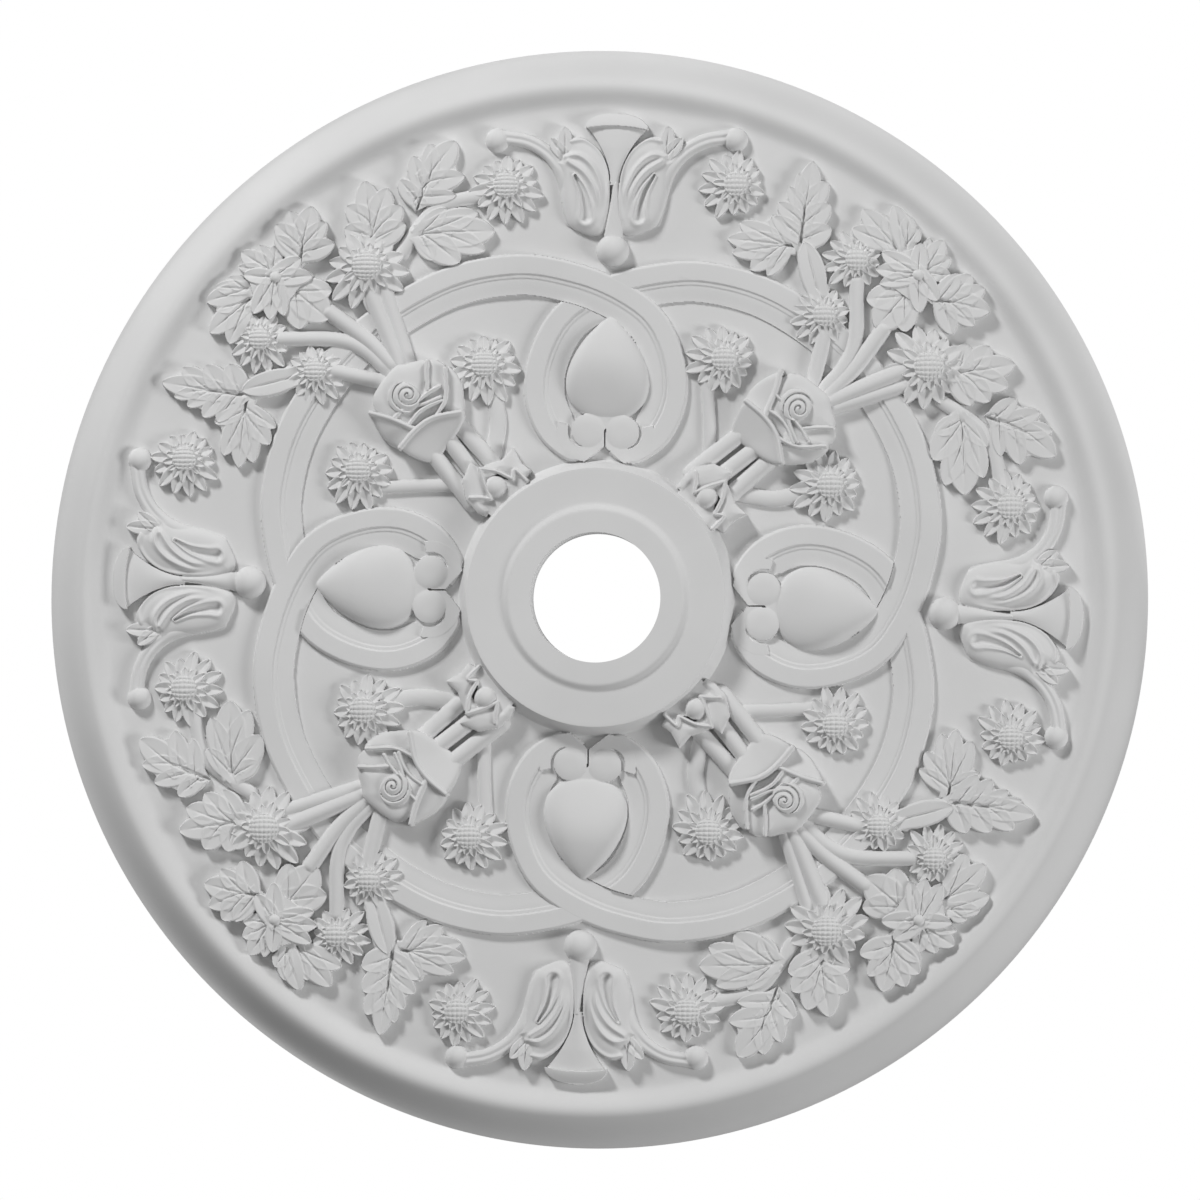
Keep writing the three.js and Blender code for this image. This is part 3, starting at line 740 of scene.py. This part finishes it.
def lobe_top(x, y, height, start, tip, half):
    """Height of a dished, pointed lobe from a place on the midrib to its tip, NONE outside it."""
    run = np.subtract(tip, start)
    length = np.hypot(*run)
    t = ((x - start[0]) * run[0] + (y - start[1]) * run[1]) / length ** 2
    side = np.abs((y - start[1]) * run[0] - (x - start[0]) * run[1]) / length
    along = np.clip(t, 0, 1)
    width = LOBE_SPREAD * half * (1 - along) ** LOBE_TIP_POWER * (LOBE_ROOT + along) / LOBE_WIDEST
    d = side / (width + TINY)
    dish = LOBE_MIDDLE + LOBE_DISH * d ** LOBE_DISH_POWER + LOBE_TIP_RISE * along
    top = height * dish - edge_fall(d, *LOBE_EDGE)
    return np.where((d < 1) & (t > -LOBE_OVERLAP) & (t < 1), top, NONE)


def leaf(relief, height, base, lobes):
    """Leaf of pointed lobes on a common blade, sagging to its ends, with a vein cut along each lobe."""
    marks = np.array([base] + [tip for start, tip, half in lobes], float)
    middle = 0.5 * (marks.min(0) + marks.max(0))
    reach = 0.5 * np.ptp(marks, axis=0).max()
    ids, dx, dy = relief.window(middle[0], middle[1], reach + LEAF_MARGIN)
    x = dx + middle[0]
    y = dy + middle[1]
    blade = np.where(inside_outline(x, y, leaf_core(base, lobes)) > 0, LEAF_FLOOR * height, NONE)
    for start, tip, half in lobes:
        blade = np.maximum(blade, lobe_top(x, y, height, start, tip, half))
    blade = blade - LEAF_SAG * (dx ** 2 + dy ** 2) / reach ** 2
    for start, tip, half in lobes:
        vein = [base, tip] if base == start else [base, start, tip]
        share, side = along_curve(x, y, curve(vein))
        blade = blade - VEIN_DEPTH * np.exp(-(side / VEIN_WIDTH) ** 2) * (1 - ease(*VEIN_FADE, share))
    relief.raise_to(ids, blade, blade > LEAF_THIN)


def on_palmette(u, v):
    """Plan place of a place of the palmette."""
    return on_motif(u, v + SKEW * u)


def palmette_lobe(relief, side):
    """Fluted lobe with a sunken eye that has a lip round it."""
    middle_u, middle_v, window = PALMETTE_WINDOW
    ids, u, v = motif_window(relief, side * middle_u, middle_v, window)
    v = v - SKEW * u
    u = side * u
    depth = inside_outline(u, v, rounded(PALMETTE_LOBE))
    height = PALMETTE_SIDE + PALMETTE_RISE * (1 - np.exp(-depth / PALMETTE_RISE_REACH))
    for course in FLUTES:
        share, offset = along_curve(u, v, curve(course))
        ridge = np.exp(-(offset / FLUTE_WIDTH) ** 2)
        height = height + FLUTE_HEIGHT * ridge * (1 - ease(*FLUTE_FADE, share))
    share, offset = along_curve(u, v, curve(EYE))
    d = np.abs(offset) / (EYE_TOP_HALF + EYE_GAIN * share)
    lip = EYE_LIP_HEIGHT * np.exp(-((d - EYE_LIP_PLACE) / EYE_LIP_WIDTH) ** 2)
    height = height + lip - EYE_DEPTH * np.clip(1 - d ** 2, 0, 1)
    relief.raise_to(ids, height, (depth > 0) & (height > 0))


def palmette_side(relief, side):
    """Lobe, leaflets and tendril of one side, with the ball at the tendril's end."""
    palmette_lobe(relief, side)
    root = on_palmette(side * LEAFLET_ROOT[0], LEAFLET_ROOT[1])
    leaf(relief, LEAFLET_HEIGHT, root, [(root, on_palmette(side * u, v), half) for u, v, half in LEAFLETS])
    tendril = [on_palmette(side * u, v) for u, v in TENDRIL]
    stem(relief, tendril, TENDRIL_HALF, TENDRIL_HEIGHT, TENDRIL_GROOVE, TENDRIL_FADE)
    x, y = on_palmette(side * TENDRIL_BALL[0], TENDRIL_BALL[1])
    ball(relief, x, y, TENDRIL_BALL_RADIUS)


def flare(distance, least, gain, length, power):
    """Half width that grows with the distance from a waist."""
    return least + gain * np.clip(distance / length, 0, 1) ** power


def bell(relief):
    """Flared cup with a rounded crown over its lip."""
    ids, u, v = motif_window(relief, 0, *BELL_WINDOW)
    lip = BELL_LIP - BELL_LIP_BEND * u * u
    crown = np.hypot(u / CROWN_HALF_WIDTH, (v - CROWN_CENTRE) / CROWN_RISE)
    top = CROWN_HEIGHT - CROWN_FALL * np.clip((v - lip) / CROWN_FALL_REACH, 0, 1) ** CROWN_FALL_POWER
    relief.raise_to(ids, top, (crown < 1) & (v > lip))
    d = np.abs(u) / flare(v - BELL_WAIST, *BELL_FLARE)
    hollow = BELL_HOLLOW * np.clip((v - BELL_HOLLOW_START) / BELL_HOLLOW_RUN, 0, 1)
    relief.raise_to(ids, BELL_HEIGHT - BELL_ROUND * d ** 2 - hollow, (d < 1) & (v > BELL_WAIST) & (v <= lip))


def bell_foot(relief):
    """Foot of the bell, that widens towards the main ball."""
    ids, u, v = motif_window(relief, 0, *BELL_FOOT_WINDOW)
    d = np.abs(u - BELL_FOOT_SHIFT) / flare(BELL_FOOT_TOP - v, *BELL_FOOT_FLARE)
    top = BELL_FOOT_HEIGHT - BELL_FOOT_ROUND * d ** 2
    relief.raise_to(ids, top, (d < 1) & (v > BELL_FOOT_END) & (v < BELL_FOOT_TOP))


def palmette(relief):
    """Two fluted sides with a bell between them, on a ball."""
    for side in (-1, 1):
        palmette_side(relief, side)
    bell(relief)
    bell_foot(relief)
    x, y = on_motif(*MAIN_BALL)
    ball(relief, x, y, MAIN_BALL_RADIUS, MAIN_BALL_ROOT)


def pad(relief, outline, height):
    """Raises what lies inside an outline; height is worked out from x, y and the depth inside it."""
    outline = np.asarray(outline, float)
    ids, x, y = relief.between(outline.min(0), outline.max(0))
    depth = inside_outline(x, y, outline)
    relief.raise_to(ids, height(x, y, depth), depth > 0)


def domed(top, fall, reach, sink=0.0):
    """Height for a pad: falls near its outline, and sinks where the folds of the rose are."""
    def height(x, y, depth):
        at_folds = sink * ease(*FOLDS_ALONG_X, x) * ease(*FOLDS_ALONG_Y, y)
        return top - fall * np.exp(-depth / reach) - at_folds
    return height


def turned_out(lip, top, fall):
    """Height for a pad that is highest along its lip."""
    def height(x, y, depth):
        share, side = along_curve(x, y, curve(lip))
        return top - fall * np.abs(side) - CUP_EDGE_FALL * np.exp(-depth / CUP_EDGE_REACH)
    return height


def rib(relief, course, half, height):
    """Raised lip along a curve."""
    ids, share, d = beside(relief, course, half)
    relief.raise_to(ids, height - RIB_ROUND * d ** 2, d < 1)


def heart(relief):
    """Coiled petals in the middle of the rose."""
    ids, dx, dy = relief.window(HEART[0], HEART[1], HEART_WINDOW)
    reach = np.hypot(dx, dy * HEART_SQUASH)
    bearing = np.arctan2(dy, dx)
    turn = reach / COIL_PITCH - bearing / (2 * math.pi)
    coil = turn - np.floor(turn)
    groove = COIL_GROOVE * np.exp(-(np.minimum(coil, 1 - coil) / COIL_GROOVE_WIDTH) ** 2)
    top = HEART_HEIGHT - HEART_SLOPE * reach - groove - COIL_STEP * coil
    relief.raise_to(ids, top, reach < HEART_RADIUS - HEART_REACH * np.sin(bearing + HEART_TURN))


def rose(relief):
    """Cup petals turned outwards, other petals behind them, folds, and the coiled heart."""
    for outline, lip, top, fall, lip_height in CUPS:
        pad(relief, rounded(outline), turned_out(lip, top, fall))
        rib(relief, lip, LIP_HALF, lip_height)
    for outline, top, fall, reach, sink in ROSE_PETALS:
        pad(relief, rounded(outline), domed(top, fall, reach, sink))
    for course in FOLDS:
        rib(relief, course, FOLD_HALF, FOLD_HEIGHT)
    heart(relief)


def bud(relief):
    """Jagged cup with a floor, lips round it and a ball in it."""
    pad(relief, BUD_FLOOR, domed(*BUD_FLOOR_DOME))
    pad(relief, BUD_CUP, domed(*BUD_DOME))
    for course in BUD_LIPS:
        rib(relief, course, BUD_LIP_HALF, BUD_LIP_HEIGHT)
    ball(relief, BUD_BALL[0], BUD_BALL[1], BUD_BALL_RADIUS, BUD_BALL_ROOT)


def strapwork(relief):
    """One strap, the egg it winds round and the scrolls at its ends."""
    strap(relief)
    egg(relief)
    scrolls(relief)


def spray(relief):
    """Flowers, leaves, stems, rose and bud between two axes."""
    for course, half, height in STEMS:
        stem(relief, course, half, height)
    for height, base, lobes in LEAVES:
        leaf(relief, height, base, lobes)
    ball(relief, BLOSSOM[0], BLOSSOM[1], BLOSSOM_RADIUS, BLOSSOM_ROOT, BLOSSOM_SQUASH)
    for x, y, radius, height, turn in SUNFLOWERS:
        sunflower(relief, x, y, radius, height, turn)
    rose(relief)
    bud(relief)


def new_mesh(name, points, faces):
    """Mesh from arrays of points, in millimetres face up, and of faces with equal numbers of corners."""
    mesh = bpy.data.meshes.new(name)
    mesh.vertices.add(len(points))
    mesh.vertices.foreach_set("co", (points * (MILLIMETRE, -MILLIMETRE, -MILLIMETRE)).ravel())
    mesh.loops.add(faces.size)
    mesh.loops.foreach_set("vertex_index", faces.ravel())
    mesh.polygons.add(len(faces))
    mesh.polygons.foreach_set("loop_start", np.arange(0, faces.size, faces.shape[1]))
    mesh.update(calc_edges=True)
    return mesh


def body_mesh():
    """Turned body: rings over the face, down the edge, under the back and up the hole."""
    face = np.concatenate((
        np.linspace(HOLE_RADIUS, COLLAR_END, COLLAR_RINGS),
        np.linspace(FIELD_START, FIELD_END, FIELD_RINGS),
        np.linspace(RIM_START, OUTER_RADIUS, RIM_RINGS),
    ))
    back = np.linspace(OUTER_RADIUS, HOLE_RADIUS, BACK_RINGS)
    radius = np.concatenate((face, back))
    height = np.concatenate((body_height(face), np.zeros(BACK_RINGS)))
    angle = 2 * math.pi * np.arange(BODY_COLUMNS) / BODY_COLUMNS
    x = np.outer(radius, np.cos(angle))
    y = np.outer(radius, np.sin(angle))
    z = np.repeat(height[:, None], BODY_COLUMNS, axis=1)
    ids = np.arange(x.size).reshape(x.shape)
    right = np.roll(ids, -1, axis=1)
    faces = np.stack((ids, right, np.roll(right, -1, axis=0), np.roll(ids, -1, axis=0)), axis=-1)
    return new_mesh("body", np.stack((x, y, z), axis=-1).reshape(-1, 3), faces.reshape(-1, 4))


def cell_corners(values, cells):
    """Values at the four corners of each used cell, going round it."""
    corners = (values[:-1, :-1], values[:-1, 1:], values[1:, 1:], values[1:, :-1])
    return np.stack(corners, axis=-1)[cells]


def cell_triangles(ids, inner, cells):
    """Halves each cell along a diagonal with an end off the edge, so that top and foot share no face."""
    square = cell_corners(ids, cells)
    hold = cell_corners(inner, cells)
    first = (hold[:, 0] | hold[:, 2])[:, None]
    return np.vstack([np.where(first, square[:, one], square[:, other]) for one, other in CELL_HALVES])


def grid_points(cells, shape):
    """Which grid points belong to a used cell, and which to used cells only."""
    used = np.zeros(shape, bool)
    inner = np.ones(shape, bool)
    for rows in (slice(None, -1), slice(1, None)):
        for columns in (slice(None, -1), slice(1, None)):
            used[rows, columns] |= cells
            inner[rows, columns] &= cells
    return used, inner


def carved_mesh(name, draw, low, high, step):
    """Ornament as a closed mesh: its top follows the carving, its foot is sunk in the field."""
    x, y = np.meshgrid(np.arange(low[0], high[0], step), np.arange(low[1], high[1], step))
    relief = Relief(x.ravel(), y.ravel())
    draw(relief)
    top = relief.top.reshape(x.shape)
    top[np.hypot(x, y) < COLLAR_FOOT - COLLAR_BITE] = NONE
    there = top > 0
    cells = there[:-1, :-1] | there[1:, :-1] | there[:-1, 1:] | there[1:, 1:]
    used, inner = grid_points(cells, x.shape)
    upper = np.full(x.shape, -1)
    upper[used] = np.arange(used.sum())
    lower = upper.copy()
    lower[inner] = used.sum() + np.arange(inner.sum())
    height = FIELD + np.where(there, top, -SINK)
    points = np.stack((x[used], y[used], height[used]), axis=-1)
    foot = np.stack((x[inner], y[inner], np.full(inner.sum(), FIELD - 2 * SINK)), axis=-1)
    faces = np.vstack((cell_triangles(upper, inner, cells), cell_triangles(lower, inner, cells)[:, ::-1]))
    return new_mesh(name, np.vstack((points, foot)), faces)


def thinned(mesh, triangles):
    """Takes a mesh down to so many triangles. Heights count for more, so that the carving keeps them."""
    mesh.transform(Matrix.Diagonal((1, 1, HEIGHT_WEIGHT, 1)))
    holder = bpy.data.objects.new(mesh.name, mesh)
    bpy.context.collection.objects.link(holder)
    modifier = holder.modifiers.new("thin", "DECIMATE")
    modifier.ratio = min(1.0, triangles / len(mesh.polygons))
    modifier.use_collapse_triangulate = True
    graph = bpy.context.evaluated_depsgraph_get()
    thin = bpy.data.meshes.new_from_object(holder.evaluated_get(graph))
    bpy.data.objects.remove(holder)
    thin.transform(Matrix.Diagonal((1, 1, 1 / HEIGHT_WEIGHT, 1)))
    return thin


def four_quarters(name, draw, grid):
    """One quarter of the ornament, carved and thinned, and its turns to the other three."""
    low, high, step, triangles = grid
    quarter = thinned(carved_mesh(name, draw, low, high, step), triangles)
    turned = []
    for count in range(REPEATS):
        turned.append(quarter.copy())
        turned[-1].transform(Matrix.Rotation(count * 2 * math.pi / REPEATS, 4, "Z"))
    return turned


def joined(meshes):
    """One mesh out of several."""
    work = bmesh.new()
    for mesh in meshes:
        work.from_mesh(mesh)
    whole = bpy.data.meshes.new(meshes[0].name)
    work.to_mesh(whole)
    work.free()
    return whole


def add_piece(name, mesh, material):
    """A piece of the casting: shaded, painted and held to the frame."""
    mesh.name = name
    mesh.shade_smooth()
    mesh.set_sharp_from_angle(angle=SHARP_ANGLE)
    mesh.materials.append(material)
    piece = bpy.data.objects.new(name, mesh)
    bpy.context.collection.objects.link(piece)
    piece.modifiers.new("flat_faces_first", "WEIGHTED_NORMAL").keep_sharp = True
    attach(piece, "root")
    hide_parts("ceiling_rose")


def noise(nodes, scale, detail):
    """Noise texture node."""
    node = nodes.new("ShaderNodeTexNoise")
    node.inputs["Scale"].default_value = scale
    node.inputs["Detail"].default_value = detail
    return node


def tones(nodes, dark, light, places=(0.0, 1.0)):
    """Colour ramp node from a dark to a light tone."""
    node = nodes.new("ShaderNodeValToRGB")
    for element, place, colour in zip(node.color_ramp.elements, places, (dark, light)):
        element.position = place
        element.color = colour
    return node


def primer():
    """Matte white factory primer over a moulded foam: faint mottling and a fine orange-peel skin."""
    material = bpy.data.materials.new("primer")
    material.use_nodes = True
    nodes = material.node_tree.nodes
    links = material.node_tree.links
    shader = nodes["Principled BSDF"]
    place = nodes.new("ShaderNodeTexCoord")
    cloud = noise(nodes, CLOUD_SCALE, CLOUD_DETAIL)
    tone = tones(nodes, PRIMER_DARK, PRIMER_LIGHT, CLOUD_RANGE)
    grain = noise(nodes, GRAIN_SCALE, GRAIN_DETAIL)
    sheen = nodes.new("ShaderNodeMapRange")
    sheen.inputs["To Min"].default_value = SMOOTHEST
    sheen.inputs["To Max"].default_value = ROUGHEST
    peel = nodes.new("ShaderNodeBump")
    peel.inputs["Strength"].default_value = PEEL_STRENGTH
    peel.inputs["Distance"].default_value = PEEL_DEPTH
    links.new(place.outputs["Object"], cloud.inputs["Vector"])
    links.new(place.outputs["Object"], grain.inputs["Vector"])
    links.new(cloud.outputs["Fac"], tone.inputs["Fac"])
    links.new(tone.outputs["Color"], shader.inputs["Base Color"])
    links.new(cloud.outputs["Fac"], sheen.inputs["Value"])
    links.new(sheen.outputs["Result"], shader.inputs["Roughness"])
    links.new(grain.outputs["Fac"], peel.inputs["Height"])
    links.new(peel.outputs["Normal"], shader.inputs["Normal"])
    shader.inputs["Specular IOR Level"].default_value = PRIMER_SHINE
    return material


def floor_material():
    """Plain matte floor with a faint mottling."""
    material = bpy.data.materials.new("studio_floor")
    material.use_nodes = True
    nodes = material.node_tree.nodes
    links = material.node_tree.links
    shader = nodes["Principled BSDF"]
    grain = noise(nodes, FLOOR_GRAIN_SCALE, FLOOR_GRAIN_DETAIL)
    tone = tones(nodes, FLOOR_DARK, FLOOR_LIGHT)
    links.new(grain.outputs["Fac"], tone.inputs["Fac"])
    links.new(tone.outputs["Color"], shader.inputs["Base Color"])
    shader.inputs["Roughness"].default_value = FLOOR_ROUGHNESS
    return material


def studio_floor():
    """Floor far below, under the camera."""
    bpy.ops.mesh.primitive_plane_add(size=FLOOR_SIZE, location=(0, 0, FLOOR_LEVEL))
    floor = bpy.context.object
    floor.name = "studio_floor"
    floor.data.materials.append(floor_material())


def soft_light(name, place, size, watts):
    """Round area light that looks at the middle of the back and isn't seen by the camera."""
    lamp = bpy.data.lights.new(name, "AREA")
    lamp.shape = "DISK"
    lamp.size = size
    lamp.energy = watts
    holder = bpy.data.objects.new(name, lamp)
    holder.location = place
    holder.rotation_euler = (-Vector(place)).to_track_quat("-Z", "Y").to_euler()
    holder.visible_camera = False
    bpy.context.collection.objects.link(holder)


def white_background(nodes, strength):
    """White background node."""
    node = nodes.new("ShaderNodeBackground")
    node.inputs["Color"].default_value = WHITE
    node.inputs["Strength"].default_value = strength
    return node


def white_surround():
    """White to the camera and a softer white as light."""
    world = bpy.data.worlds.new("surround")
    bpy.context.scene.world = world
    world.use_nodes = True
    nodes = world.node_tree.nodes
    links = world.node_tree.links
    nodes.clear()
    out = nodes.new("ShaderNodeOutputWorld")
    mix = nodes.new("ShaderNodeMixShader")
    path = nodes.new("ShaderNodeLightPath")
    glow = white_background(nodes, SURROUND_LIGHT)
    backdrop = white_background(nodes, BACKDROP)
    links.new(path.outputs["Is Camera Ray"], mix.inputs["Fac"])
    links.new(glow.outputs["Background"], mix.inputs[1])
    links.new(backdrop.outputs["Background"], mix.inputs[2])
    links.new(mix.outputs["Shader"], out.inputs["Surface"])


def photograph_camera():
    """Looks up at the face, with the photograph's top towards -Y."""
    lens = bpy.data.cameras.new("camera")
    lens.sensor_width = SENSOR
    lens.sensor_fit = "HORIZONTAL"
    lens.lens = SENSOR * CAMERA_DISTANCE / FRAME_WIDTH
    holder = bpy.data.objects.new("camera", lens)
    place = Vector((CAMERA_RIGHT, CAMERA_LOW, -CAMERA_DISTANCE))
    back = (place - Vector(AIM)).normalized()
    right = Vector(PHOTO_UP).cross(back).normalized()
    up = back.cross(right)
    turn = Matrix((right, up, back)).transposed()
    holder.matrix_world = Matrix.Translation(place) @ turn.to_4x4()
    bpy.context.collection.objects.link(holder)
    bpy.context.scene.camera = holder


paint = primer()
add_piece("body", body_mesh(), paint)
add_piece("strapwork", joined(four_quarters("strapwork", strapwork, STRAPWORK_GRID)), paint)
add_piece("palmettes", joined(four_quarters("palmettes", palmette, PALMETTE_GRID)), paint)
for number, quarter in enumerate(four_quarters("spray", spray, SPRAY_GRID), start=1):
    add_piece(f"spray_{number}", quarter, paint)

studio_floor()
for name, place, size, watts in LIGHTS:
    soft_light(name, place, size, watts)
white_surround()
photograph_camera()
bpy.context.scene.view_settings.view_transform = "Standard"
